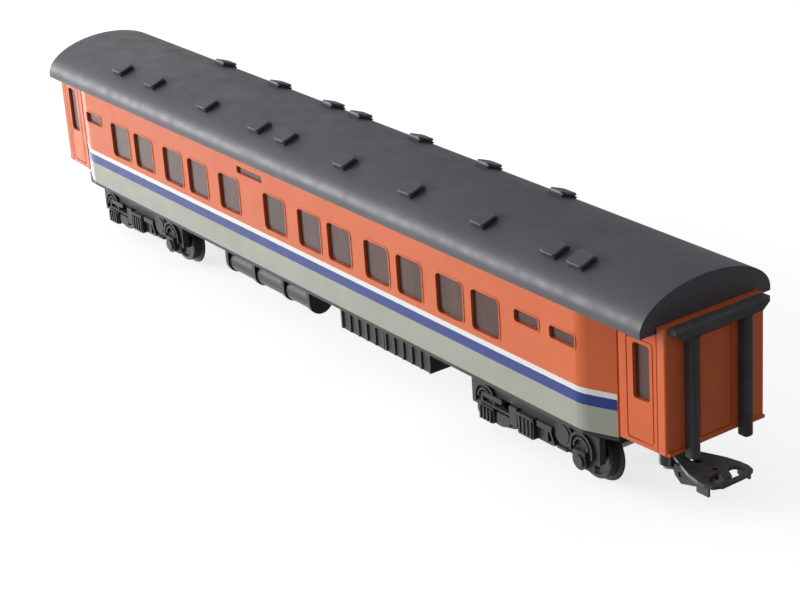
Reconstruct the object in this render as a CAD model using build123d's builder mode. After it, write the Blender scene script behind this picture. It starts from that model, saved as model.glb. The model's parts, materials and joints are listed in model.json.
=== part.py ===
"""Model passenger coach for 16.5 mm gauge track, built as separate pieces.

Frame: +X along the coach towards end A, +Y to its left, +Z up. The origin is
under the middle of the coach, on the plane the wheel flanges rest on.
Every length is in millimetres.
"""

import math
import os

from build123d import *

os.makedirs("parts", exist_ok=True)

# ---------------------------------------------------------------- body
SIDE_BOTTOM = 15.0
SIDE_HEIGHT = 24.5
EAVE = SIDE_BOTTOM + SIDE_HEIGHT
HALF_LENGTH = 115.0
BODY_HALF_WIDTH = 16.0
TAPER_START = 97.5
TAPER_END = 104.7
TAPER_END_HALF_WIDTH = 13.0
END_HALF_WIDTH = 12.4
WALL = 1.2
END_LIFT = 0.4

# Large windows, small windows and the slot, by centre along the coach.
WINDOW_PAIRS = (-73.7, -47.7, 11.8, 37.5, 63.0)
PAIR_PITCH = 11.7
SLOT_X = -17.9
SLOT_PAIR_PITCH = 19.4
SMALL_WINDOWS = (-93.0, 81.9, 92.6)
WINDOW_W, WINDOW_H, WINDOW_R = 8.8, 8.8, 1.1
WINDOW_Z = SIDE_BOTTOM + 14.9
SMALL_W, SMALL_H, SMALL_R = 7.4, 2.7, 0.7
SMALL_Z = SIDE_BOTTOM + 17.9
SLOT_W, SLOT_H, SLOT_R = 10.6, 1.7, 0.3
SLOT_Z = SIDE_BOTTOM + 22.1
LIP_WIDTH, LIP_PROUD = 0.3, 0.12

# Entrance doors in the narrowed ends.
DOOR_X = 110.6
DOOR_W, DOOR_H, DOOR_Z = 7.0, 21.0, SIDE_BOTTOM + 11.8
DOOR_WINDOW_W, DOOR_WINDOW_H = 4.3, 11.4
DOOR_WINDOW_X = 110.95
DOOR_WINDOW_Z = SIDE_BOTTOM + 15.6
GROOVE = 0.3

# End walls: the thick panel across each end, its top ledge and its feet.
LEDGE_BOTTOM, LEDGE_TOP = SIDE_BOTTOM + 24.3, SIDE_BOTTOM + 25.9
FOOT_TOP = SIDE_BOTTOM + 1.0
FOOT_PROUD = 0.5
PANEL_X = HALF_LENGTH + 2.3
PANEL_BOTTOM = SIDE_BOTTOM + END_LIFT

# Screw posts inside the body.
SCREW_X, SCREW_Y = 88.0, 0.0
POST_R = 3.2
SCREW_HOLE_R = 1.0

# ---------------------------------------------------------------- roof
ROOF_HALF_WIDTH = 16.3
ROOF_RISE = 8.35
ROOF_WALL = 1.0
ROOF_SHOULDER = 0.75
VENT_Y = 10.1
VENT_TILT = 20.2
VENT_FOOT_Z = EAVE + 6.7
MIDDLE_VENTS = (-69.0, -43.8, -21.0, -9.8, 13.5, 37.9, 62.2)
RIGHT_ONLY_VENTS = (-85.0, 84.2, 92.2)

# ---------------------------------------------------------------- glazing
GLASS = 1.0
GLASS_GAP = 0.08
PANE_DEPTH = 0.7

# ---------------------------------------------------------------- gangway
TUBE_FRONT_X = PANEL_X + 2.25
TUBE_Y, TUBE_W = 6.7, 2.2
TUBE_BOTTOM = SIDE_BOTTOM - 1.2
HOOD_FRONT_X = PANEL_X + 2.5
HOOD_HALF_WIDTH = 11.7
HOOD_BOTTOM, HOOD_TOP = SIDE_BOTTOM + 23.7, SIDE_BOTTOM + 26.2

# ---------------------------------------------------------------- underframe
FLOOR_BOTTOM = SIDE_BOTTOM - 1.0
FLOOR_TOP = SIDE_BOTTOM + 1.2
FLANGE_INSET = 0.3
FLOOR_GAP = 0.12
WEIGHT_SIZE = (150.0, 22.0, 1.5)
WEIGHT_PEG_X = 60.0
PEG_R = 1.2

# Underfloor equipment. The right side is -Y; the left repeats it turned round.
EQUIPMENT_OUTER_Y = 14.2
TANK_R = 2.9
TANK_Z = SIDE_BOTTOM - 4.6
TANK_ENDS = (-34.6, -22.6, -10.2, 0.4)
TANK_PLATE = 1.1
BATTERY_XS = (21.3, 38.0)
BATTERY_SIZE = (15.9, 7.0, 5.7)

# ---------------------------------------------------------------- bogies
BOGIE_X = 78.7
HALF_WHEELBASE = 15.1
AXLE_Z = 6.25
FLANGE_R = 6.25
TREAD_R = 5.25
TREAD_OUTER_R = 5.1
WHEEL_BACK_Y = 7.15
WHEEL_WIDTH = 2.8
FLANGE_WIDTH = 0.8
AXLE_R = 1.0
JOURNAL_R = 0.6
JOURNAL_START_Y = 11.0
JOURNAL_END_Y = 12.5
JOURNAL_GAP = 0.05
FRAME_INNER_Y = 11.3
FRAME_OUTER_Y = 12.8
AXLEBOX_OUTER_Y = 14.3
FRAME_HALF_LENGTH = 20.0
BOLSTER_BOTTOM, BOLSTER_TOP = 10.1, 12.2
BOLSTER_HALF_LENGTH = 7.5
PIVOT_R = 1.92
PIVOT_GAP = 0.08

# ---------------------------------------------------------------- couplers
COUPLER_PIVOT_X = 104.5
TONGUE_R = 2.2
TONGUE_BOTTOM, TONGUE_TOP = 7.5, 8.9
ARM_BOTTOM, ARM_TOP = 5.1, 7.2
RIVET_R, RIVET_GAP = 0.9, 0.06
BAIL_PIN_X, BAIL_PIN_Z = 111.0, 6.1
BAIL_PIN_R, BAIL_PIN_GAP = 0.5, 0.06
BAIL_BOTTOM, BAIL_TOP = 7.7, 8.4
HOOK_X = 120.1


def both(value):
    """The two mirrored places of something that repeats on either hand."""
    return (-value, value)


def plan_corners():
    """Corners of the body outline seen from above, in order round it."""
    quarter = [
        (TAPER_START, BODY_HALF_WIDTH),
        (TAPER_END, TAPER_END_HALF_WIDTH),
        (HALF_LENGTH, END_HALF_WIDTH),
    ]
    right = [(x, -y) for x, y in quarter] + [(x, y) for x, y in reversed(quarter)]
    return right + [(-x, y) for x, y in quarter] + [(-x, -y) for x, y in reversed(quarter)]


def large_window_places():
    """Centres of the large windows in the plane of a side wall."""
    places = []
    for centre, pitch in [(x, PAIR_PITCH) for x in WINDOW_PAIRS] + [(SLOT_X, SLOT_PAIR_PITCH)]:
        places += [(centre - pitch / 2, WINDOW_Z), (centre + pitch / 2, WINDOW_Z)]
    return places


def opening_kinds():
    """Each kind of side opening: places, width, height, corner radius."""
    return [
        (large_window_places(), WINDOW_W, WINDOW_H, WINDOW_R),
        ([(x, SMALL_Z) for x in SMALL_WINDOWS], SMALL_W, SMALL_H, SMALL_R),
        ([(SLOT_X, SLOT_Z)], SLOT_W, SLOT_H, SLOT_R),
    ]


def draw_roof_section(half_width, rise, base):
    """Half ellipse of a roof section standing on two short upright edges."""
    EllipticalCenterArc(
        (0, EAVE + ROOF_SHOULDER), half_width, rise - ROOF_SHOULDER, start_angle=0, arc_size=180
    )
    Polyline(
        (-half_width, EAVE + ROOF_SHOULDER),
        (-half_width, base),
        (half_width, base),
        (half_width, EAVE + ROOF_SHOULDER),
    )


def side_plane(y):
    """Drawing plane parallel to a side wall at the given y, x along the coach."""
    return Plane.XZ.offset(-y)


# ================================================================ body shell
with BuildPart() as body_shell:
    with BuildSketch(Plane.XY.offset(SIDE_BOTTOM)):
        with BuildLine():
            Polyline(*plan_corners(), close=True)
        make_face()
    extrude(amount=SIDE_HEIGHT)
    uprights = body_shell.edges().filter_by(Axis.Z)
    fillet([e for e in uprights if abs(abs(e.center().X) - TAPER_START) < 0.1], radius=7.0)
    with BuildSketch(Plane.XY.offset(SIDE_BOTTOM)):
        with BuildLine():
            Polyline(*plan_corners(), close=True)
        make_face()
        offset(amount=-WALL, kind=Kind.INTERSECTION, mode=Mode.REPLACE)
    extrude(amount=SIDE_HEIGHT, mode=Mode.SUBTRACT)

    # The narrowed ends stop a little higher than the sides.
    with BuildSketch(Plane.XY.offset(SIDE_BOTTOM)):
        with Locations(*[(x, 0) for x in both((TAPER_END + HALF_LENGTH) / 2 + 1)]):
            Rectangle(HALF_LENGTH - TAPER_END + 2, 2 * BODY_HALF_WIDTH)
    extrude(amount=END_LIFT, mode=Mode.SUBTRACT)

    # Moulded lips round the windows, then the openings through both sides.
    for side in both(BODY_HALF_WIDTH):
        with BuildSketch(side_plane(side)):
            for places, width, height, radius in opening_kinds()[:2]:
                with Locations(*places):
                    RectangleRounded(
                        width + 2 * LIP_WIDTH, height + 2 * LIP_WIDTH, radius + LIP_WIDTH
                    )
        extrude(amount=-LIP_PROUD if side > 0 else LIP_PROUD)
    with BuildSketch(Plane.XZ):
        for places, width, height, radius in opening_kinds():
            with Locations(*places):
                RectangleRounded(width, height, radius)
        with Locations(*[(x, DOOR_WINDOW_Z) for x in both(DOOR_WINDOW_X)]):
            RectangleRounded(DOOR_WINDOW_W, DOOR_WINDOW_H, 0.8)
    extrude(amount=BODY_HALF_WIDTH + 1, both=True, mode=Mode.SUBTRACT)

    # Door outlines: a narrow groove sunk all round each door leaf.
    for side in both(TAPER_END_HALF_WIDTH + 0.3):
        with BuildSketch(side_plane(side)):
            with Locations(*[(x, DOOR_Z) for x in both(DOOR_X)]):
                RectangleRounded(DOOR_W, DOOR_H, 0.6)
                RectangleRounded(
                    DOOR_W - 2 * GROOVE, DOOR_H - 2 * GROOVE, 0.4, mode=Mode.SUBTRACT
                )
        depth = TAPER_END_HALF_WIDTH + 0.3 - END_HALF_WIDTH + 0.15
        extrude(amount=depth if side > 0 else -depth, mode=Mode.SUBTRACT)

    # Shadow gap where the stepped-in door section starts.
    for x in both(TAPER_END + 0.25):
        for y in both(TAPER_END_HALF_WIDTH):
            with BuildSketch(Plane.XY.offset(SIDE_BOTTOM)):
                with Locations((x, y)):
                    Rectangle(0.5, 1.0)
            extrude(amount=SIDE_HEIGHT, mode=Mode.SUBTRACT)

    # End walls: the thick panel with the ledge on its top, which clears the roof.
    for end in both(1.0):
        with BuildSketch(Plane.XY.offset(PANEL_BOTTOM)):
            with Locations((end * (PANEL_X + HALF_LENGTH - 0.2) / 2, 0)):
                Rectangle(PANEL_X - HALF_LENGTH + 0.2, 2 * END_HALF_WIDTH)
        extrude(amount=LEDGE_BOTTOM + 0.1 - PANEL_BOTTOM)
        with BuildSketch(Plane.XY.offset(LEDGE_BOTTOM)):
            with Locations((end * (PANEL_X + HALF_LENGTH + 0.1) / 2, 0)):
                Rectangle(PANEL_X - HALF_LENGTH - 0.1, 2 * END_HALF_WIDTH)
        extrude(amount=LEDGE_TOP - LEDGE_BOTTOM)
    uprights = body_shell.edges().filter_by(Axis.Z)
    fillet([e for e in uprights if abs(abs(e.center().X) - PANEL_X) < 0.1], radius=0.5)

    # Fine seams where the panels start, the feet, and the door outline on each panel.
    with BuildSketch(Plane.XY.offset(SIDE_BOTTOM)):
        with Locations(*[(x, y) for x in both(HALF_LENGTH) for y in both(END_HALF_WIDTH)]):
            Rectangle(0.25, 0.4)
    extrude(amount=SIDE_HEIGHT + 2, mode=Mode.SUBTRACT)
    for end in both(1.0):
        for y in both((END_HALF_WIDTH + TUBE_Y + TUBE_W / 2 + 0.1) / 2):
            with BuildSketch(Plane.XY.offset(PANEL_BOTTOM)):
                with Locations((end * (PANEL_X + FOOT_PROUD / 2 - 0.2), y)):
                    Rectangle(FOOT_PROUD + 0.4, END_HALF_WIDTH - TUBE_Y - TUBE_W / 2 - 0.6)
            extrude(amount=FOOT_TOP - PANEL_BOTTOM)
        with BuildSketch(Plane.YZ.offset(end * PANEL_X)):
            with Locations((0, SIDE_BOTTOM + 12.0)):
                RectangleRounded(8.2, 21.0, 0.5)
                RectangleRounded(7.6, 20.4, 0.3, mode=Mode.SUBTRACT)
        extrude(amount=-0.3 * end, mode=Mode.SUBTRACT)

    # Posts for the body screws, tied to both side walls by a rib.
    with BuildSketch(Plane.XY.offset(FLOOR_TOP + FLOOR_GAP)):
        with Locations(*[(x, SCREW_Y) for x in both(SCREW_X)]):
            Circle(POST_R)
            Rectangle(1.0, 2 * (BODY_HALF_WIDTH - WALL / 2))
    extrude(amount=5.0)
    with BuildSketch(Plane.XY.offset(FLOOR_TOP)):
        with Locations(*[(x, SCREW_Y) for x in both(SCREW_X)]):
            Circle(SCREW_HOLE_R)
    extrude(amount=4.0, mode=Mode.SUBTRACT)
body_shell.part.label = "body_shell"
export_step(body_shell.part, "parts/body_shell.step")

# ================================================================ roof
ROOF_HALF_LENGTH = HALF_LENGTH - 0.05
SOFFIT_START = 96.0
SOFFIT = 0.6

with BuildPart() as roof:
    with BuildSketch(Plane.YZ.offset(-ROOF_HALF_LENGTH)):
        with BuildLine():
            draw_roof_section(ROOF_HALF_WIDTH, ROOF_RISE, EAVE + 0.02)
        make_face()
    extrude(amount=2 * ROOF_HALF_LENGTH)
    with BuildSketch(Plane.YZ.offset(-ROOF_HALF_LENGTH + 1.4)):
        with BuildLine():
            draw_roof_section(ROOF_HALF_WIDTH - ROOF_WALL, ROOF_RISE - ROOF_WALL, EAVE + SOFFIT)
        make_face()
    extrude(amount=2 * ROOF_HALF_LENGTH - 2.8, mode=Mode.SUBTRACT)
    with BuildSketch(Plane.XY.offset(EAVE)):
        Rectangle(2 * SOFFIT_START, 2 * (BODY_HALF_WIDTH - WALL))
    extrude(amount=SOFFIT + 0.1, mode=Mode.SUBTRACT)

    # Locating tabs that reach down inside the side walls.
    with BuildSketch(Plane.XY.offset(EAVE - 1.6)):
        with Locations(
            *[(x, y) for x in (-60, 0, 52) for y in both(BODY_HALF_WIDTH - WALL - 0.55)]
        ):
            Rectangle(6.0, 0.9)
    extrude(amount=1.6 + SOFFIT)
    with BuildSketch(Plane.XY.offset(EAVE + 0.02)):
        with Locations(*[(x, y) for x in (-60, 0, 52) for y in both(BODY_HALF_WIDTH - WALL)]):
            Rectangle(6.0, 2.0)
    extrude(amount=SOFFIT)
roof.part.label = "roof"
export_step(roof.part, "parts/roof.step")


def vent_row(side):
    """Roof ventilators: a flared cowl, a sunk neck and a rounded lid laid to the slope."""
    places = [(x, 0) for x in MIDDLE_VENTS]
    if side < 0:
        places += [(x, 0) for x in RIGHT_ONLY_VENTS]
    foot = Plane(
        origin=(0, side * VENT_Y, VENT_FOOT_Z),
        x_dir=(1, 0, 0),
        z_dir=(0, side * math.sin(math.radians(VENT_TILT)), math.cos(math.radians(VENT_TILT))),
    )
    with BuildPart() as row:
        with BuildSketch(foot.offset(-0.5)):
            with Locations(*places):
                Rectangle(3.6, 3.8)
        extrude(amount=0.85, taper=-20)
        with BuildSketch(foot.offset(0.3)):
            with Locations(*places):
                Rectangle(3.7, 3.5)
        extrude(amount=0.4)
        with BuildSketch(foot.offset(0.6)):
            with Locations(*places):
                RectangleRounded(4.6, 4.2, 0.9)
        extrude(amount=0.5)
        lids = row.faces().sort_by(Axis(foot.origin, foot.z_dir))[-len(places):]
        fillet(lids.edges(), radius=0.25)
        with BuildSketch(Plane.YZ.offset(-HALF_LENGTH)):
            with BuildLine():
                draw_roof_section(ROOF_HALF_WIDTH, ROOF_RISE, EAVE)
            make_face()
        extrude(amount=2 * HALF_LENGTH, mode=Mode.SUBTRACT)
    return row


for name, side in (("roof_vents_right", -1), ("roof_vents_left", 1)):
    vents = vent_row(side)
    vents.part.label = name
    export_step(vents.part, f"parts/{name}.step")

# ================================================================ glazing
GLASS_OUTER_Y = BODY_HALF_WIDTH - WALL - 0.02


def side_glazing(side):
    """Clear strip behind one side wall, with a pane standing in each opening."""
    with BuildPart() as strip:
        with BuildSketch(side_plane(side * GLASS_OUTER_Y)):
            with Locations((0, SIDE_BOTTOM + 15.4)):
                Rectangle(194.0, 12.0)
            with Locations((SLOT_X, SLOT_Z)):
                Rectangle(SLOT_W + 2.0, SLOT_H + 1.0)
        extrude(amount=GLASS * side)
        with BuildSketch(side_plane(side * GLASS_OUTER_Y)):
            for places, width, height, radius in opening_kinds():
                with Locations(*places):
                    RectangleRounded(
                        width - 2 * GLASS_GAP, height - 2 * GLASS_GAP, radius - GLASS_GAP
                    )
        extrude(amount=-PANE_DEPTH * side)
    return strip


for name, side in (("glazing_right", -1), ("glazing_left", 1)):
    glazing = side_glazing(side)
    glazing.part.label = name
    export_step(glazing.part, f"parts/{name}.step")

with BuildPart() as door_glazing:
    for side in both(1.0):
        inner_y = END_HALF_WIDTH - WALL - 0.05
        with BuildSketch(side_plane(side * inner_y)):
            with Locations(*[(x, DOOR_WINDOW_Z) for x in both(DOOR_WINDOW_X - 0.4)]):
                RectangleRounded(DOOR_WINDOW_W + 1.4, DOOR_WINDOW_H + 1.6, 0.5)
        extrude(amount=0.9 * side)
        with BuildSketch(side_plane(side * inner_y)):
            with Locations(*[(x, DOOR_WINDOW_Z) for x in both(DOOR_WINDOW_X)]):
                RectangleRounded(
                    DOOR_WINDOW_W - 2 * GLASS_GAP, DOOR_WINDOW_H - 2 * GLASS_GAP, 0.7
                )
        extrude(amount=-(PANE_DEPTH + 0.1) * side)
door_glazing.part.label = "door_glazing"
export_step(door_glazing.part, "parts/door_glazing.step")

# ================================================================ gangway
HOOD_CUT_Y, HOOD_CUT_Z = 1.8, 1.4

for name, end in (("gangway_a", 1), ("gangway_b", -1)):
    with BuildPart() as tubes:
        with BuildSketch(Plane.XY.offset(TUBE_BOTTOM)):
            with Locations(*[(end * (PANEL_X + TUBE_FRONT_X) / 2, y) for y in both(TUBE_Y)]):
                Rectangle(TUBE_FRONT_X - PANEL_X - 0.04, TUBE_W)
        extrude(amount=HOOD_BOTTOM - 0.1 - TUBE_BOTTOM)
        front = tubes.edges().filter_by(Axis.Z).sort_by(Axis.X, reverse=end > 0)[:4]
        fillet(front, radius=0.8)
        fillet(tubes.faces().sort_by(Axis.Z)[:2].edges(), radius=0.4)
    tubes.part.label = f"{name}_tubes"
    export_step(tubes.part, f"parts/{name}_tubes.step")

    with BuildPart() as hood:
        with BuildSketch(Plane.YZ.offset(end * (PANEL_X + 0.02))):
            with BuildLine():
                Polyline(
                    (-HOOD_HALF_WIDTH, HOOD_TOP),
                    (-HOOD_HALF_WIDTH, HOOD_BOTTOM + HOOD_CUT_Z),
                    (-HOOD_HALF_WIDTH + HOOD_CUT_Y, HOOD_BOTTOM),
                    (HOOD_HALF_WIDTH - HOOD_CUT_Y, HOOD_BOTTOM),
                    (HOOD_HALF_WIDTH, HOOD_BOTTOM + HOOD_CUT_Z),
                    (HOOD_HALF_WIDTH, HOOD_TOP),
                    close=True,
                )
            make_face()
        extrude(amount=end * (HOOD_FRONT_X - PANEL_X - 0.02))
        fillet(hood.faces().sort_by(Axis.X, reverse=end > 0)[0].edges(), radius=0.5)
    hood.part.label = f"{name}_hood"
    export_step(hood.part, f"parts/{name}_hood.step")

# ================================================================ underframe
with BuildPart() as underframe:
    with BuildSketch(Plane.XY.offset(SIDE_BOTTOM)):
        with BuildLine():
            Polyline(*plan_corners(), close=True)
        make_face()
        offset(amount=-WALL - FLOOR_GAP, kind=Kind.INTERSECTION, mode=Mode.REPLACE)
    extrude(amount=FLOOR_TOP - SIDE_BOTTOM)
    with BuildSketch(Plane.XY.offset(FLOOR_BOTTOM)):
        with BuildLine():
            Polyline(*plan_corners(), close=True)
        make_face()
        offset(amount=-FLANGE_INSET, kind=Kind.INTERSECTION, mode=Mode.REPLACE)
        Rectangle(2 * (TAPER_END - 0.2), 40.0, mode=Mode.INTERSECT)
    extrude(amount=SIDE_BOTTOM - FLOOR_BOTTOM)

    # Bogie bearings, with the holes for the pivot screws.
    with BuildSketch(Plane.XY.offset(BOLSTER_TOP + 0.1)):
        with Locations(*[(x, 0) for x in both(BOGIE_X)]):
            Circle(3.6)
    extrude(amount=FLOOR_BOTTOM - BOLSTER_TOP)
    with BuildSketch(Plane.XY.offset(BOLSTER_TOP)):
        with Locations(*[(x, 0) for x in both(BOGIE_X)]):
            Circle(PIVOT_R + 0.03)
    extrude(amount=FLOOR_TOP - BOLSTER_TOP, mode=Mode.SUBTRACT)

    # Holes for the body screws.
    with BuildSketch(Plane.XY.offset(FLOOR_BOTTOM)):
        with Locations(*[(x, SCREW_Y) for x in both(SCREW_X)]):
            Circle(SCREW_HOLE_R + 0.2)
    extrude(amount=5.0, mode=Mode.SUBTRACT)

    # Two beams along the floor between the bogies, and the weight's pegs.
    with BuildSketch(Plane.XY.offset(FLOOR_BOTTOM - 1.2)):
        with Locations(*[(0, y) for y in both(5.5)]):
            Rectangle(104.0, 1.4)
    extrude(amount=1.2)
    with BuildSketch(Plane.XY.offset(FLOOR_TOP)):
        with Locations(*[(x, 0) for x in both(WEIGHT_PEG_X)]):
            Circle(PEG_R)
    extrude(amount=2.2)
underframe.part.label = "underframe"
export_step(underframe.part, "parts/underframe.step")

with BuildPart() as ballast_weight:
    with Locations((0, 0, FLOOR_TOP + 0.02)):
        Box(*WEIGHT_SIZE, align=(Align.CENTER, Align.CENTER, Align.MIN))
    fillet(ballast_weight.edges().filter_by(Axis.Z), radius=1.5)
    with Locations(*[(x, 0, FLOOR_TOP + 2.0) for x in both(WEIGHT_PEG_X)]):
        Hole(radius=PEG_R + 0.1)
ballast_weight.part.label = "ballast_weight"
export_step(ballast_weight.part, "parts/ballast_weight.step")

with BuildPart() as body_screws:
    with Locations(*[(x, SCREW_Y, FLOOR_BOTTOM - 0.02) for x in both(SCREW_X)]):
        Cylinder(2.0, 0.7, align=(Align.CENTER, Align.CENTER, Align.MAX))
        Cylinder(SCREW_HOLE_R - 0.02, 5.0, align=(Align.CENTER, Align.CENTER, Align.MIN))
    with Locations(*[(x, SCREW_Y, FLOOR_BOTTOM - 0.72) for x in both(SCREW_X)]):
        Box(4.2, 0.5, 0.5, mode=Mode.SUBTRACT)
body_screws.part.label = "body_screws"
export_step(body_screws.part, "parts/body_screws.step")

with BuildPart() as bogie_pivot_screws:
    with Locations(*[(x, 0, BOLSTER_BOTTOM - 0.1) for x in both(BOGIE_X)]):
        Cylinder(3.0, 0.9, align=(Align.CENTER, Align.CENTER, Align.MAX))
        Cylinder(
            PIVOT_R,
            FLOOR_TOP - BOLSTER_BOTTOM - 0.1,
            align=(Align.CENTER, Align.CENTER, Align.MIN),
        )
    with Locations(*[(x, 0, BOLSTER_BOTTOM - 1.0) for x in both(BOGIE_X)]):
        Box(6.2, 0.7, 0.8, mode=Mode.SUBTRACT)
bogie_pivot_screws.part.label = "bogie_pivot_screws"
export_step(bogie_pivot_screws.part, "parts/bogie_pivot_screws.step")

# ================================================================ equipment
TANK_Y = EQUIPMENT_OUTER_Y - TANK_R

for name, turn in (("right", 1), ("left", -1)):
    with BuildPart() as tank_frame:
        for x in TANK_ENDS:
            with BuildSketch(Plane.YZ.offset(turn * x - TANK_PLATE / 2)):
                with Locations((-turn * TANK_Y, TANK_Z)):
                    Circle(TANK_R + 0.35)
                with Locations((-turn * TANK_Y, (TANK_Z + FLOOR_BOTTOM) / 2)):
                    Rectangle(2 * TANK_R + 0.7, FLOOR_BOTTOM - 0.02 - TANK_Z)
            extrude(amount=TANK_PLATE)
        with BuildSketch(Plane.XY.offset(FLOOR_BOTTOM - 0.62)):
            with Locations((turn * (TANK_ENDS[0] + TANK_ENDS[-1]) / 2, -turn * TANK_Y)):
                Rectangle(TANK_ENDS[-1] - TANK_ENDS[0], 2.6)
        extrude(amount=0.6)
    tank_frame.part.label = f"tank_frame_{name}"
    export_step(tank_frame.part, f"parts/tank_frame_{name}.step")

    with BuildPart() as air_tanks:
        for x0, x1 in zip(TANK_ENDS[:-1], TANK_ENDS[1:]):
            length = x1 - x0 - TANK_PLATE - 0.1
            centre = turn * (x0 + x1) / 2
            with BuildSketch(Plane.YZ.offset(centre - length / 2)):
                with Locations((-turn * TANK_Y, TANK_Z)):
                    Circle(TANK_R)
            extrude(amount=length)
        fillet(air_tanks.edges().filter_by(GeomType.CIRCLE), radius=0.5)
    air_tanks.part.label = f"air_tanks_{name}"
    export_step(air_tanks.part, f"parts/air_tanks_{name}.step")

    with BuildPart() as battery_boxes:
        length, depth, height = BATTERY_SIZE
        outer = EQUIPMENT_OUTER_Y - 0.35
        for x in BATTERY_XS:
            with Locations((turn * x, -turn * (outer - depth / 2), FLOOR_BOTTOM - 0.02)):
                Box(length, depth, height, align=(Align.CENTER, Align.CENTER, Align.MAX))
        fillet(battery_boxes.edges().filter_by(Axis.Z), radius=0.3)
        rib_places = [
            (turn * (x + length / 5 * (i - 2.5)), FLOOR_BOTTOM - 0.02 - height / 2)
            for x in BATTERY_XS
            for i in range(6)
        ]
        with BuildSketch(side_plane(-turn * (outer - 0.1))):
            with Locations(*rib_places):
                Rectangle(0.55, height - 0.3)
        extrude(amount=0.45 * turn)
        with BuildSketch(side_plane(-turn * (outer - 0.1))):
            with Locations(*[(turn * x, FLOOR_BOTTOM - 0.5) for x in BATTERY_XS]):
                Rectangle(length, 0.6)
        extrude(amount=0.45 * turn)
    battery_boxes.part.label = f"battery_boxes_{name}"
    export_step(battery_boxes.part, f"parts/battery_boxes_{name}.step")

# ================================================================ bogies
SPINE_HALF_WIDTH = 3.2


def bogie_side(centre, side):
    """One side of a bogie. Its details run in the same order seen from either hand."""
    turn = -side
    face = side_plane(side * (FRAME_OUTER_Y - 0.1))

    def at(dx, z):
        return (centre + turn * dx, z)

    with BuildPart() as cheek:
        # Plate: top bar, end posts, horn guards over the axles and a dropped middle.
        with BuildSketch(side_plane(side * FRAME_INNER_Y)):
            with Locations((centre, 11.3)):
                Rectangle(2 * FRAME_HALF_LENGTH, 2.2)
            with Locations(*[(centre + dx, 9.2) for dx in both(FRAME_HALF_LENGTH - 0.9)]):
                RectangleRounded(1.8, 5.8, 0.4)
            with Locations(*[(centre + dx, 7.8) for dx in both(HALF_WHEELBASE)]):
                RectangleRounded(6.6, 7.4, 1.2)
            with Locations(at(0.8, 8.2)):
                RectangleRounded(11.4, 5.4, 1.0)
            with Locations(at(-8.8, 6.3)):
                Rectangle(7.0, 1.3)
            with Locations(at(9.8, 7.4)):
                Rectangle(7.0, 2.6)
        extrude(amount=-side * (FRAME_OUTER_Y - FRAME_INNER_Y))

        # Two thin arches with legs round each axlebox.
        with BuildSketch(face):
            for outer, inner in ((3.4, 2.9), (2.3, 1.9)):
                with Locations(*[(centre + dx, 8.7) for dx in both(HALF_WHEELBASE)]):
                    Circle(outer)
                    Circle(inner, mode=Mode.SUBTRACT)
            with Locations(*[(centre + dx, 6.0) for dx in both(HALF_WHEELBASE)]):
                Rectangle(9.0, 5.4, mode=Mode.SUBTRACT)
            for dx in both(HALF_WHEELBASE):
                with Locations(*[(centre + dx + leg, 8.0) for leg in both(3.15)]):
                    Rectangle(0.5, 1.5)
        extrude(amount=-side * 0.75)

        # Brake rod with its hanger, stiffening plate, and the N-shaped swing link.
        with BuildSketch(face):
            with Locations(at(-11.0, 8.0)):
                Rectangle(9.8, 0.5)
            with Locations(at(-15.6, 9.0)):
                Rectangle(0.5, 2.2)
            with Locations(at(-12.2, 9.8)):
                RectangleRounded(6.0, 1.1, 0.4)
            with Locations(at(5.1, 7.8)):
                Rectangle(0.5, 2.8)
            with Locations(Location((*at(6.6, 7.8), 0), (0, 0, turn * 25))):
                Rectangle(0.5, 3.4)
            with Locations(at(9.6, 6.6)):
                Rectangle(3.0, 0.5)
        extrude(amount=-side * 0.9)

        # Bracket, stub and the two boxes on the dropped middle.
        with BuildSketch(face):
            with Locations(at(-8.7, 6.2)):
                RectangleRounded(4.0, 2.4, 0.5)
            with Locations(at(-5.4, 8.2)):
                Rectangle(2.3, 4.2)
            with Locations(at(-1.4, 7.6)):
                RectangleRounded(5.0, 4.8, 0.4)
            with Locations(at(4.5, 9.6)):
                Rectangle(4.5, 1.2)
        extrude(amount=-side * 1.1)
        with BuildSketch(face):
            with Locations(*[at(dx, 7.4) for dx in (-3.2, -2.0, -0.8, 0.4)]):
                Rectangle(0.4, 3.6)
            with Locations(at(-1.4, 9.75)):
                Rectangle(5.0, 0.5)
        extrude(amount=-side * 1.35)

        # Round spring pot beside the outer axle, with a smaller cap on it.
        with BuildSketch(face):
            with Locations(at(9.8, 9.9)):
                Circle(2.7)
        extrude(amount=-side * 0.6)
        with BuildSketch(face):
            with Locations(at(9.8, 9.9)):
                Circle(1.9)
        extrude(amount=-side * 0.8)

        # Inner axlebox: a ribbed block. Outer axlebox: a round cap.
        with BuildSketch(face):
            with Locations(at(1.15 - HALF_WHEELBASE, 5.9)):
                RectangleRounded(4.8, 3.4, 0.5)
            with Locations(at(HALF_WHEELBASE, AXLE_Z)):
                Circle(2.0)
            with Locations(at(HALF_WHEELBASE, AXLE_Z + 1.3)):
                Rectangle(3.4, 1.5)
        extrude(amount=-side * (AXLEBOX_OUTER_Y - FRAME_OUTER_Y - 0.3))
        with BuildSketch(face):
            with Locations(*[at(dx - HALF_WHEELBASE, 5.8) for dx in (-0.6, 0.5, 1.6, 2.7)]):
                Rectangle(0.45, 2.8)
            with Locations(at(HALF_WHEELBASE, AXLE_Z)):
                Circle(1.35)
        extrude(amount=-side * (AXLEBOX_OUTER_Y - FRAME_OUTER_Y + 0.1))
    return cheek.part


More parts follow.
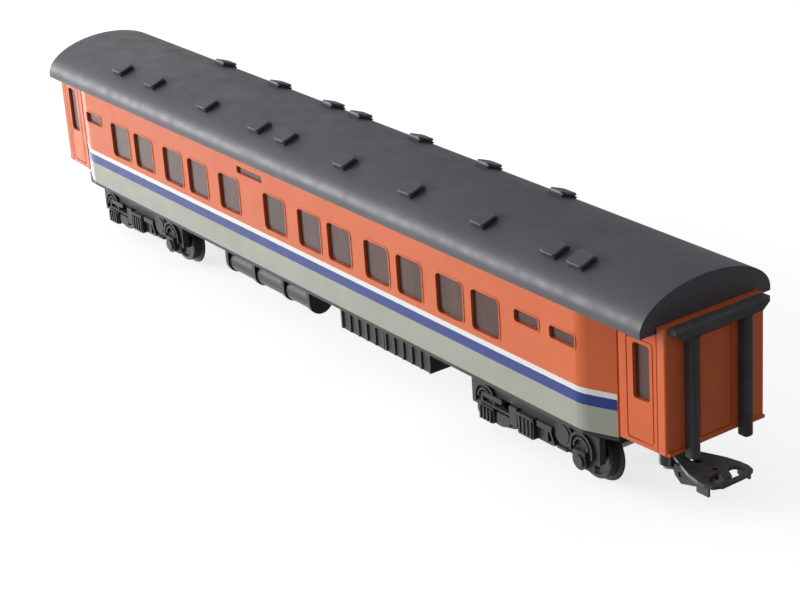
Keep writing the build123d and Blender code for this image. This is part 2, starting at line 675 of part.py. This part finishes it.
def bogie_frame(end):
    """Moulded bogie: side frames, bolster, spine and coupler tongue."""
    centre = end * BOGIE_X
    axles = [centre - HALF_WHEELBASE, centre + HALF_WHEELBASE]
    with BuildPart() as frame:
        for side in both(1):
            add(bogie_side(centre, side))

        # Bolster across the middle, and the spine and tongue to the coupler.
        with BuildSketch(Plane.XY.offset(BOLSTER_BOTTOM)):
            with Locations((centre, 0)):
                Rectangle(2 * BOLSTER_HALF_LENGTH, 2 * FRAME_INNER_Y + 0.4)
            with Locations((centre + end * (FRAME_HALF_LENGTH / 2), 0)):
                Rectangle(FRAME_HALF_LENGTH, 2 * SPINE_HALF_WIDTH)
        extrude(amount=BOLSTER_TOP - BOLSTER_BOTTOM)
        with BuildSketch(Plane.XY.offset(TONGUE_BOTTOM)):
            with Locations((centre + end * FRAME_HALF_LENGTH - end * 0.7, 0)):
                Rectangle(1.4, 2 * TONGUE_R)
        extrude(amount=BOLSTER_BOTTOM + 0.5 - TONGUE_BOTTOM)
        with BuildSketch(Plane.XY.offset(TONGUE_BOTTOM)):
            reach = COUPLER_PIVOT_X - BOGIE_X - FRAME_HALF_LENGTH + 1.4
            with Locations((end * (COUPLER_PIVOT_X - reach / 2), 0)):
                Rectangle(reach, 2 * TONGUE_R)
            with Locations((end * COUPLER_PIVOT_X, 0)):
                Circle(TONGUE_R)
        extrude(amount=TONGUE_TOP - TONGUE_BOTTOM)

        # Holes: pivot, coupler rivet, axle bearings.
        with BuildSketch(Plane.XY.offset(TONGUE_BOTTOM - 1)):
            with Locations((centre, 0)):
                Circle(PIVOT_R + PIVOT_GAP)
            with Locations((end * COUPLER_PIVOT_X, 0)):
                Circle(RIVET_R)
        extrude(amount=8.0, mode=Mode.SUBTRACT)
        with BuildSketch(Plane.XZ):
            with Locations(*[(x, AXLE_Z) for x in axles]):
                Circle(JOURNAL_R + JOURNAL_GAP)
        extrude(amount=JOURNAL_END_Y + 0.12, both=True, mode=Mode.SUBTRACT)
    return frame


for letter, end in (("a", 1), ("b", -1)):
    frame = bogie_frame(end)
    frame.part.label = f"bogie_frame_{letter}"
    export_step(frame.part, f"parts/bogie_frame_{letter}.step")


def wheel_pair(x):
    """Two disc wheels with flange, coned tread, sunk web and hub."""
    back = WHEEL_BACK_Y
    face = WHEEL_BACK_Y + WHEEL_WIDTH
    with BuildPart() as pair:
        for side in both(1.0):
            with BuildSketch(Plane.XY.offset(AXLE_Z)):
                with BuildLine():
                    Polyline(
                        (x + AXLE_R, side * back),
                        (x + FLANGE_R - 0.6, side * back),
                        (x + FLANGE_R, side * (back + 0.35)),
                        (x + FLANGE_R - 0.15, side * (back + FLANGE_WIDTH - 0.15)),
                        (x + TREAD_R, side * (back + FLANGE_WIDTH + 0.1)),
                        (x + TREAD_OUTER_R, side * (face - 0.2)),
                        (x + TREAD_OUTER_R - 0.2, side * face),
                        (x + TREAD_R - 1.0, side * face),
                        (x + TREAD_R - 1.3, side * (face - 0.7)),
                        (x + 2.1, side * (face - 0.9)),
                        (x + 1.8, side * (face - 0.05)),
                        (x + AXLE_R, side * (face - 0.05)),
                        close=True,
                    )
                make_face()
            revolve(axis=Axis((x, 0, AXLE_Z), (0, 1, 0)), revolution_arc=360)
    return pair


def axle(x):
    """Steel axle stepped down to journals with pointed tips."""
    with BuildPart() as shaft:
        with BuildSketch(Plane.XY.offset(AXLE_Z)):
            with BuildLine():
                Polyline(
                    (x, -JOURNAL_END_Y),
                    (x + 0.15, -JOURNAL_END_Y),
                    (x + JOURNAL_R, -JOURNAL_END_Y + 0.5),
                    (x + JOURNAL_R, -JOURNAL_START_Y),
                    (x + AXLE_R, -JOURNAL_START_Y + 0.5),
                    (x + AXLE_R, JOURNAL_START_Y - 0.5),
                    (x + JOURNAL_R, JOURNAL_START_Y),
                    (x + JOURNAL_R, JOURNAL_END_Y - 0.5),
                    (x + 0.15, JOURNAL_END_Y),
                    (x, JOURNAL_END_Y),
                    close=True,
                )
            make_face()
        revolve(axis=Axis((x, 0, AXLE_Z), (0, 1, 0)), revolution_arc=360)
    return shaft


for letter, end in (("a", 1), ("b", -1)):
    for number, offset_x in ((1, HALF_WHEELBASE), (2, -HALF_WHEELBASE)):
        place = end * (BOGIE_X + offset_x)
        wheels = wheel_pair(place)
        wheels.part.label = f"wheels_{letter}{number}"
        export_step(wheels.part, f"parts/wheels_{letter}{number}.step")
        shaft = axle(place)
        shaft.part.label = f"axle_{letter}{number}"
        export_step(shaft.part, f"parts/axle_{letter}{number}.step")

# ================================================================ couplers
ARM_HALF_WIDTH = 2.3
EAR_INNER_Y = ARM_HALF_WIDTH + 0.3
EAR_OUTER_Y = EAR_INNER_Y + 0.8
NOTCH_START, NOTCH_END, NOTCH_BOTTOM = 106.6, 109.9, 5.7


def coupler_arm(end):
    """Shank turning on the rivet, with the catch that stands up at its nose."""
    with BuildPart() as arm:
        with BuildSketch(Plane.XY.offset(ARM_BOTTOM)):
            with Locations((end * COUPLER_PIVOT_X, 0)):
                Circle(TONGUE_R)
            with Locations((end * (COUPLER_PIVOT_X + 2.0), 0)):
                Rectangle(4.0, 2 * TONGUE_R - 0.8)
            with Locations((end * (COUPLER_PIVOT_X + HOOK_X) / 2, 0)):
                Rectangle(HOOK_X - COUPLER_PIVOT_X - 7.0, 2 * ARM_HALF_WIDTH)
        extrude(amount=ARM_TOP - ARM_BOTTOM)
        with BuildSketch(Plane.XZ):
            with BuildLine():
                Polyline(
                    (end * (HOOK_X - 6.0), ARM_TOP),
                    (end * (HOOK_X - 2.9), ARM_TOP),
                    (end * (HOOK_X - 1.2), ARM_TOP - 0.2),
                    (end * (HOOK_X - 0.9), BAIL_TOP + 0.5),
                    (end * (HOOK_X + 0.3), BAIL_TOP - 0.5),
                    (end * HOOK_X, ARM_BOTTOM + 0.6),
                    (end * (HOOK_X - 2.0), ARM_BOTTOM),
                    (end * (HOOK_X - 6.0), ARM_BOTTOM),
                    close=True,
                )
            make_face()
        extrude(amount=1.1, both=True)
        with BuildSketch(Plane.XY.offset(ARM_BOTTOM)):
            with Locations((end * COUPLER_PIVOT_X, 0)):
                Circle(RIVET_R + RIVET_GAP)
        extrude(amount=ARM_TOP - ARM_BOTTOM, mode=Mode.SUBTRACT)
        with BuildSketch(Plane.XZ):
            with Locations((end * BAIL_PIN_X, BAIL_PIN_Z)):
                Circle(BAIL_PIN_R)
            # Notch behind the pin, into which the loop plate's tail dips.
            with Locations((end * (NOTCH_START + NOTCH_END) / 2, (NOTCH_BOTTOM + ARM_TOP) / 2)):
                Rectangle(NOTCH_END - NOTCH_START, ARM_TOP - NOTCH_BOTTOM)
        extrude(amount=ARM_HALF_WIDTH, both=True, mode=Mode.SUBTRACT)
    return arm


def mirrored_outline(end, half):
    """Closed outline from the corners of its +Y half, given from rear to front."""
    left = [(end * x, y) for x, y in half]
    return left + [(x, -y) for x, y in reversed(left)]


def coupler_bail(end):
    """Loop plate with two long cheeks that turn on the cross pin."""
    plate = [(107.4, 1.9), (111.3, 3.5), (114.8, 4.9), (118.0, 5.6), (120.0, 5.7)]
    plate += [(121.8, 5.2), (122.5, 3.6), (122.7, 1.4)]
    loop = [(118.4, 3.2), (119.4, 4.1), (120.8, 4.3), (121.5, 3.2), (121.7, 1.2)]
    cheek = [(109.4, BAIL_BOTTOM + 0.1), (109.4, 5.6), (111.2, 4.2), (115.6, 5.3)]
    cheek += [(115.6, BAIL_BOTTOM + 0.1)]
    with BuildPart() as bail:
        with BuildSketch(Plane.XY.offset(BAIL_BOTTOM)):
            with BuildLine():
                Polyline(*mirrored_outline(end, plate), close=True)
            make_face()
        extrude(amount=BAIL_TOP - BAIL_BOTTOM)
        fillet(bail.edges().filter_by(Axis.Z), radius=0.4)
        with BuildSketch(Plane.XY.offset(BAIL_BOTTOM)):
            with BuildLine():
                Polyline(*mirrored_outline(end, loop), close=True)
            make_face()
            with Locations((end * 111.7, 0)):
                RectangleRounded(3.2, 1.8, 0.5)
            with Locations((end * 116.9, 0)):
                Circle(0.55)
        extrude(amount=BAIL_TOP - BAIL_BOTTOM, mode=Mode.SUBTRACT)
        for y in both((EAR_INNER_Y + EAR_OUTER_Y) / 2):
            with BuildSketch(Plane.XZ.offset(-y - (EAR_OUTER_Y - EAR_INNER_Y) / 2)):
                with BuildLine():
                    Polyline(*[(end * x, z) for x, z in cheek], close=True)
                make_face()
                with Locations((end * BAIL_PIN_X, BAIL_PIN_Z)):
                    Circle(BAIL_PIN_R + BAIL_PIN_GAP, mode=Mode.SUBTRACT)
            extrude(amount=EAR_OUTER_Y - EAR_INNER_Y)
        # Tabs turned down under the widest part of the rim.
        with BuildSketch(Plane.XY.offset(BAIL_BOTTOM - 1.8)):
            with Locations(*[(end * 119.3, y) for y in both(5.25)]):
                Rectangle(3.2, 0.5)
        extrude(amount=1.9)
    return bail


for letter, end in (("a", 1), ("b", -1)):
    arm = coupler_arm(end)
    arm.part.label = f"coupler_arm_{letter}"
    export_step(arm.part, f"parts/coupler_arm_{letter}.step")
    bail = coupler_bail(end)
    bail.part.label = f"coupler_bail_{letter}"
    export_step(bail.part, f"parts/coupler_bail_{letter}.step")

    with BuildPart() as rivet:
        with Locations((end * COUPLER_PIVOT_X, 0, ARM_BOTTOM - 0.1)):
            Cylinder(1.7, 0.6, align=(Align.CENTER, Align.CENTER, Align.MAX))
            Cylinder(
                RIVET_R - 0.01,
                TONGUE_TOP + 0.5 - ARM_BOTTOM,
                align=(Align.CENTER, Align.CENTER, Align.MIN),
            )
        with Locations((end * COUPLER_PIVOT_X, 0, TONGUE_TOP + 0.02)):
            Cylinder(1.5, 0.5, align=(Align.CENTER, Align.CENTER, Align.MIN))
    rivet.part.label = f"coupler_rivet_{letter}"
    export_step(rivet.part, f"parts/coupler_rivet_{letter}.step")

    # Pressed through the arm; its ends stop a little short of the cheeks' outer faces.
    with BuildPart() as bail_pin:
        with BuildSketch(Plane.XZ):
            with Locations((end * BAIL_PIN_X, BAIL_PIN_Z)):
                Circle(BAIL_PIN_R - 0.01)
        extrude(amount=EAR_OUTER_Y - 0.25, both=True)
    bail_pin.part.label = f"bail_pin_{letter}"
    export_step(bail_pin.part, f"parts/bail_pin_{letter}.step")
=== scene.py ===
"""Looks of a model passenger coach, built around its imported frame.

Lengths are metres in the frame of the part: +X along the coach towards end A,
+Z up, the origin under the middle on the plane of the wheel flanges.
"""

import json
import math

import bmesh
import bpy
from mathutils import Matrix, Vector

MM = 0.001
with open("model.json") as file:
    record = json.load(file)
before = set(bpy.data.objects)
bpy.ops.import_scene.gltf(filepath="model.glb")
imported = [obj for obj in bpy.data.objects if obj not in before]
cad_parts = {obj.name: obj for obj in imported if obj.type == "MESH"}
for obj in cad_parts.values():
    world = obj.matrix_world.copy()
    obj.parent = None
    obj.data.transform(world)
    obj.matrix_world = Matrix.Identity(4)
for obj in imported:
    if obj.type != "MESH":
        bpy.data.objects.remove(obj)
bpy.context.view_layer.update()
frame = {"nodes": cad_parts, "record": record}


# ------------------------------------------------------------------ shading
class Shade:
    """One material's node tree, with short calls for the nodes used here."""

    def __init__(self, name, roughness=0.5):
        self.material = bpy.data.materials.new(name)
        self.material.use_nodes = True
        self.tree = self.material.node_tree
        self.bsdf = self.tree.nodes["Principled BSDF"]
        self.bsdf.inputs["Roughness"].default_value = roughness
        coordinates = self.add("ShaderNodeTexCoord")
        self.place = coordinates.outputs["Object"]
        self.facing = coordinates.outputs["Normal"]

    def add(self, kind, **settings):
        node = self.tree.nodes.new(kind)
        for key, value in settings.items():
            setattr(node, key, value)
        return node

    def feed(self, socket, value):
        if isinstance(value, bpy.types.NodeSocket):
            self.tree.links.new(value, socket)
        else:
            socket.default_value = value

    def set(self, **values):
        for key, value in values.items():
            self.feed(self.bsdf.inputs[key.replace("_", " ")], value)

    def math(self, operation, a, b=0.0, clamp=False):
        node = self.add("ShaderNodeMath", operation=operation, use_clamp=clamp)
        self.feed(node.inputs[0], a)
        self.feed(node.inputs[1], b)
        return node.outputs[0]

    def span(self, value, low, high, to_low=0.0, to_high=1.0):
        node = self.add("ShaderNodeMapRange", interpolation_type="SMOOTHSTEP")
        self.feed(node.inputs["Value"], value)
        node.inputs["From Min"].default_value = low
        node.inputs["From Max"].default_value = high
        node.inputs["To Min"].default_value = to_low
        node.inputs["To Max"].default_value = to_high
        return node.outputs["Result"]

    def noise(self, scale, detail=3.0, roughness=0.55, stretch=(1, 1, 1)):
        mapping = self.add("ShaderNodeMapping")
        self.feed(mapping.inputs["Vector"], self.place)
        mapping.inputs["Scale"].default_value = stretch
        node = self.add("ShaderNodeTexNoise")
        self.feed(node.inputs["Vector"], mapping.outputs[0])
        node.inputs["Scale"].default_value = scale
        node.inputs["Detail"].default_value = detail
        node.inputs["Roughness"].default_value = roughness
        return node.outputs["Fac"]

    def parts(self, vector):
        node = self.add("ShaderNodeSeparateXYZ")
        self.feed(node.inputs[0], vector)
        return node.outputs

    def mix(self, factor, a, b):
        node = self.add("ShaderNodeMix", data_type="RGBA")
        self.feed(node.inputs["Factor"], factor)
        self.feed(node.inputs[6], rgba(a))
        self.feed(node.inputs[7], rgba(b))
        return node.outputs[2]

    def edges(self, radius, low=0.02, high=0.2):
        """Near 1 on the edges of the shape, 0 on its flats."""
        bevel = self.add("ShaderNodeBevel", samples=6)
        bevel.inputs["Radius"].default_value = radius
        geometry = self.add("ShaderNodeNewGeometry")
        dot = self.add("ShaderNodeVectorMath", operation="DOT_PRODUCT")
        self.feed(dot.inputs[0], bevel.outputs[0])
        self.feed(dot.inputs[1], geometry.outputs["Normal"])
        return self.span(self.math("SUBTRACT", 1.0, dot.outputs["Value"]), low, high)

    def bump(self, height, strength, distance):
        node = self.add("ShaderNodeBump")
        node.inputs["Strength"].default_value = strength
        node.inputs["Distance"].default_value = distance
        self.feed(node.inputs["Height"], height)
        self.feed(self.bsdf.inputs["Normal"], node.outputs[0])


def rgba(value):
    if isinstance(value, bpy.types.NodeSocket):
        return value
    return (*value, 1.0)


# Heights of the printed bands, the outline of the body as in the part, and
# how far in from that outline a surface still counts as the printed side.
SIDE_BOTTOM = 15.0 * MM
BLUE_BOTTOM = SIDE_BOTTOM + 5.5 * MM
BLUE_TOP = SIDE_BOTTOM + 7.8 * MM
WHITE_TOP = SIDE_BOTTOM + 9.0 * MM
TAPER_START, TAPER_END = 97.5 * MM, 104.7 * MM
BODY_HALF_WIDTH, TAPER_INSET = 16.0 * MM, 3.0 * MM
PRINT_DEPTH = 0.35 * MM
ORANGE = (0.78, 0.15, 0.034)
BAND_GREY = (0.42, 0.43, 0.36)
BAND_BLUE = (0.010, 0.036, 0.26)
BAND_WHITE = (0.88, 0.88, 0.86)


def shell_paint():
    """Orange moulding with three printed bands along the sides."""
    s = Shade("shell_paint")
    x, y, z = s.parts(s.place)
    long_x, wide_y = s.math("ABSOLUTE", x), s.math("ABSOLUTE", y)
    ragged = s.math("MULTIPLY", s.math("SUBTRACT", s.noise(1400), 0.5), 0.00016)
    height = s.math("ADD", z, ragged)
    cloud = s.noise(60, 4)
    fine = s.noise(2600, 2)
    orange = s.mix(s.span(cloud, 0.3, 0.7), ORANGE, (0.73, 0.13, 0.028))
    grey = s.mix(s.span(cloud, 0.3, 0.7), BAND_GREY, (0.37, 0.38, 0.32))
    low = s.mix(s.math("GREATER_THAN", height, BLUE_BOTTOM), grey, BAND_BLUE)
    low = s.mix(s.math("GREATER_THAN", height, BLUE_TOP), low, BAND_WHITE)
    taper = s.add("ShaderNodeMapRange", clamp=True)
    s.feed(taper.inputs["Value"], long_x)
    taper.inputs["From Min"].default_value = TAPER_START
    taper.inputs["From Max"].default_value = TAPER_END
    taper.inputs["To Min"].default_value = BODY_HALF_WIDTH - PRINT_DEPTH
    taper.inputs["To Max"].default_value = BODY_HALF_WIDTH - TAPER_INSET - PRINT_DEPTH
    outside = s.math("GREATER_THAN", wide_y, taper.outputs["Result"])
    along = s.math("LESS_THAN", long_x, TAPER_END - 0.1 * MM)
    on_side = s.math("MULTIPLY", outside, along)
    banded = s.math("MULTIPLY", s.math("LESS_THAN", height, WHITE_TOP), on_side)
    colour = s.mix(banded, orange, low)
    pale_edges = s.math("MULTIPLY", s.edges(0.00018), s.span(s.noise(900, 4), 0.5, 0.75))
    colour = s.mix(s.math("MULTIPLY", pale_edges, 0.35), colour, (0.85, 0.42, 0.25))
    dust = s.span(s.noise(5200, 2), 0.72, 0.8)
    colour = s.mix(s.math("MULTIPLY", dust, 0.25), colour, (0.75, 0.7, 0.62))
    s.set(Base_Color=colour, Roughness=s.span(s.noise(320, 4), 0.2, 0.8, 0.34, 0.5))
    s.bsdf.inputs["Specular IOR Level"].default_value = 0.5
    s.bump(fine, 0.12, 0.00006)
    return s.material


def roof_grey():
    """Satin dark grey plastic with a fine moulded grain and handling scuffs."""
    s = Shade("roof_grey")
    cloud, grain = s.noise(45, 5), s.noise(3800, 3)
    colour = s.mix(s.span(cloud, 0.3, 0.7), (0.070, 0.070, 0.086), (0.088, 0.088, 0.106))
    scuff = s.span(s.noise(420, 6, 0.7, (0.25, 2.2, 1)), 0.62, 0.78)
    colour = s.mix(s.math("MULTIPLY", scuff, 0.25), colour, (0.16, 0.16, 0.17))
    dust = s.span(s.noise(6000, 2), 0.7, 0.8)
    colour = s.mix(s.math("MULTIPLY", dust, 0.35), colour, (0.3, 0.3, 0.31))
    # Edges lightened in colour: part real wear, part a painted edge highlight.
    pale_edges = s.math("MULTIPLY", s.edges(0.00018), s.span(s.noise(1200, 4), 0.35, 0.65))
    colour = s.mix(s.math("MULTIPLY", pale_edges, 0.5), colour, (0.22, 0.22, 0.24))
    s.set(Base_Color=colour, Roughness=s.span(s.noise(260, 5), 0.2, 0.8, 0.41, 0.55))
    s.bump(grain, 0.2, 0.00005)
    return s.material


def dark_plastic(name, base, edge_wear_and_highlight_colour, roughness, edge_wear_and_highlight=0.7, dust_top=0.35):
    """Dull black plastic: light edges, partly worn and partly a painted highlight, and dust on
    whatever faces up.
    """
    s = Shade(name)
    cloud, grain = s.noise(130, 5), s.noise(4200, 3)
    lighter = tuple(1.6 * c for c in base)
    colour = s.mix(s.span(cloud, 0.3, 0.72), base, lighter)
    up = s.span(s.parts(s.facing)[2], 0.45, 0.95)
    dusty = s.math("MULTIPLY", up, s.span(s.noise(700, 4), 0.3, 0.7))
    colour = s.mix(s.math("MULTIPLY", dusty, dust_top), colour, (0.21, 0.205, 0.20))
    # Edges lightened in colour: part real wear, part a painted edge highlight.
    pale_edges = s.math("MULTIPLY", s.edges(0.00015), s.span(s.noise(1500, 4), 0.35, 0.6))
    colour = s.mix(s.math("MULTIPLY", pale_edges, edge_wear_and_highlight), colour, edge_wear_and_highlight_colour)
    s.set(Base_Color=colour, Roughness=s.span(grain, 0.25, 0.75, roughness - 0.08, roughness + 0.1))
    s.bump(grain, 0.25, 0.00006)
    return s.material


def window_smoke():
    """Smoky brown clear plastic, a little milky, with moulding flow marks."""
    s = Shade("window_smoke")
    flow = s.noise(260, 3, 0.5, (1, 1, 0.2))
    colour = s.mix(s.span(flow, 0.3, 0.7), (0.120, 0.053, 0.047), (0.160, 0.080, 0.070))
    s.set(Base_Color=colour, Roughness=s.span(s.noise(900, 3), 0.3, 0.7, 0.16, 0.26))
    s.bsdf.inputs["Transmission Weight"].default_value = 0.3
    s.bsdf.inputs["IOR"].default_value = 1.49
    s.bump(s.noise(800, 2), 0.1, 0.00004)
    return s.material


def steel(name, base, roughness):
    """Bright turned or rolled steel with fine machining lines."""
    s = Shade(name)
    lines = s.noise(2400, 2, 0.5, (1, 0.08, 1))
    colour = s.mix(s.span(s.noise(300, 4), 0.3, 0.7), base, tuple(0.8 * c for c in base))
    s.set(Base_Color=colour, Roughness=s.span(lines, 0.3, 0.7, roughness - 0.06, roughness + 0.1))
    s.bsdf.inputs["Metallic"].default_value = 1.0
    s.bump(lines, 0.15, 0.00003)
    return s.material


MATERIALS = {
    "shell_paint": shell_paint(),
    "roof_grey": roof_grey(),
    "window_smoke": window_smoke(),
    "chassis_black": dark_plastic("chassis_black", (0.022, 0.022, 0.024), (0.24, 0.24, 0.25), 0.52),
    "gangway_black": dark_plastic(
        "gangway_black", (0.042, 0.042, 0.046), (0.13, 0.13, 0.135), 0.6, edge_wear_and_highlight=0.5, dust_top=0.2
    ),
    "coupler_black": dark_plastic("coupler_black", (0.038, 0.038, 0.047), (0.30, 0.30, 0.31), 0.4),
    "wheel_black": dark_plastic("wheel_black", (0.02, 0.02, 0.021), (0.16, 0.16, 0.165), 0.4),
    "weight_steel": steel("weight_steel", (0.36, 0.36, 0.37), 0.5),
    "axle_steel": steel("axle_steel", (0.55, 0.55, 0.56), 0.3),
    "screw_steel": steel("screw_steel", (0.5, 0.5, 0.5), 0.35),
}

# ------------------------------------------------------------------ CAD nodes
slot_of = {part["node"]: part["material_slot"] for part in frame["record"]["subparts"]}


def paint(piece, slot):
    """Gives a piece one of the record's materials."""
    piece.data.materials.clear()
    piece.data.materials.append(MATERIALS[slot])


for name, node in frame["nodes"].items():
    paint(node, slot_of[name])

# ------------------------------------------------------------------ stage
FLOOR_HALF_SIZE = 9.0
WALL_RADIUS, WALL_HEIGHT = 8.0, 12.0
PAPER_LIGHT, PAPER_DARK = (0.56, 0.56, 0.56), (0.54, 0.54, 0.545)
PAPER_GLOW = 0.74


def stage_piece(name, build):
    """A piece of the stage that the camera sees but the coach doesn't reflect."""
    mesh = bpy.data.meshes.new(name)
    work = bmesh.new()
    build(work)
    work.to_mesh(mesh)
    work.free()
    piece = bpy.data.objects.new(name, mesh)
    bpy.context.scene.collection.objects.link(piece)
    piece.visible_diffuse = False
    piece.visible_glossy = False
    return piece


def build_wall(work):
    """An open upright ring that stands round the floor."""
    bmesh.ops.create_cone(
        work,
        segments=96,
        radius1=WALL_RADIUS,
        radius2=WALL_RADIUS,
        depth=WALL_HEIGHT,
        cap_ends=False,
    )


def build_floor(work):
    """A flat square sheet under the coach."""
    bmesh.ops.create_grid(work, size=FLOOR_HALF_SIZE)


floor = stage_piece("floor", build_floor)
wall = stage_piece("wall", build_wall)
wall.visible_shadow = False
wall.visible_transmission = False
paper = Shade("floor_paper", 0.9)
paper.set(Base_Color=paper.mix(paper.noise(20), PAPER_LIGHT, PAPER_DARK))
paper.bsdf.inputs["Emission Color"].default_value = (1.0, 1.0, 1.0, 1.0)
paper.bsdf.inputs["Emission Strength"].default_value = PAPER_GLOW
paper.bsdf.inputs["Specular IOR Level"].default_value = 0.0
for piece in (floor, wall):
    piece.data.materials.append(paper.material)


def studio_world():
    """White room, bright towards end B and the near side, dim towards end A.

    Two glows beyond end B, one low and one high, show as sheen in the windows
    and on the roof.
    """
    world = bpy.data.worlds.new("studio")
    world.use_nodes = True
    tree = world.node_tree

    def dot(direction, low, high, to_low, to_high):
        """Brightness that rises from to_low to to_high as the view nears a direction."""
        node = tree.nodes.new("ShaderNodeVectorMath")
        node.operation = "DOT_PRODUCT"
        tree.links.new(coordinates.outputs["Generated"], node.inputs[0])
        node.inputs[1].default_value = Vector(direction).normalized()
        ramp = tree.nodes.new("ShaderNodeMapRange")
        ramp.interpolation_type = "SMOOTHSTEP"
        tree.links.new(node.outputs["Value"], ramp.inputs["Value"])
        ramp.inputs["From Min"].default_value = low
        ramp.inputs["From Max"].default_value = high
        ramp.inputs["To Min"].default_value = to_low
        ramp.inputs["To Max"].default_value = to_high
        return ramp.outputs["Result"]

    coordinates = tree.nodes.new("ShaderNodeTexCoord")
    room = dot((-0.83, -0.55, 0.0), -0.25, 1.0, 0.20, 0.66)
    low_glow = dot((-1.0, 0.0, -0.35), 0.80, 1.0, 0.0, 2.6)
    high_glow = dot((-0.98, 0.15, 0.15), 0.88, 1.0, 0.0, 1.2)
    total = room
    for extra in (low_glow, high_glow):
        node = tree.nodes.new("ShaderNodeMath")
        tree.links.new(total, node.inputs[0])
        tree.links.new(extra, node.inputs[1])
        total = node.outputs[0]
    background = tree.nodes["Background"]
    background.inputs["Color"].default_value = (1.0, 1.0, 1.0, 1.0)
    tree.links.new(total, background.inputs["Strength"])
    return world


bpy.context.scene.world = studio_world()


def area_light(name, place, aim, width, height, watts):
    """A white soft box at place, facing aim."""
    data = bpy.data.lights.new(name, "AREA")
    data.shape = "RECTANGLE"
    data.size, data.size_y = width, height
    data.energy = watts
    lamp = bpy.data.objects.new(name, data)
    bpy.context.scene.collection.objects.link(lamp)
    lamp.location = place
    lamp.rotation_euler = (Vector(aim) - Vector(place)).to_track_quat("-Z", "Y").to_euler()


# The main light stands beyond end B on the near side; the weak one is behind.
area_light("window_light", (-1.25, -1.00, 0.36), (-0.03, 0.0, 0.03), 0.9, 0.6, 22)
area_light("fill_light", (0.20, 1.60, 0.30), (0.0, 0.0, 0.03), 1.4, 0.5, 9)

# ------------------------------------------------------------------ camera
CAMERA_PLACE = Vector((0.37689, -0.24578, 0.19878))
CAMERA_AIM = Vector((-0.0251, 0.0279, -0.0096))
CAMERA_ROLL = math.radians(-4.04)
FOCAL_LENGTH, SENSOR_WIDTH = 95.59, 36.0

camera = bpy.data.cameras.new("camera")
camera.lens = FOCAL_LENGTH
camera.sensor_width = SENSOR_WIDTH
camera.clip_start, camera.clip_end = 0.01, 20.0
view = bpy.data.objects.new("camera", camera)
bpy.context.scene.collection.objects.link(view)
turn = (CAMERA_AIM - CAMERA_PLACE).to_track_quat("-Z", "Y").to_matrix().to_4x4()
roll = Matrix.Rotation(CAMERA_ROLL, 4, "Z")
view.matrix_world = Matrix.Translation(CAMERA_PLACE) @ turn @ roll
bpy.context.scene.camera = view
bpy.context.scene.view_settings.view_transform = "Standard"
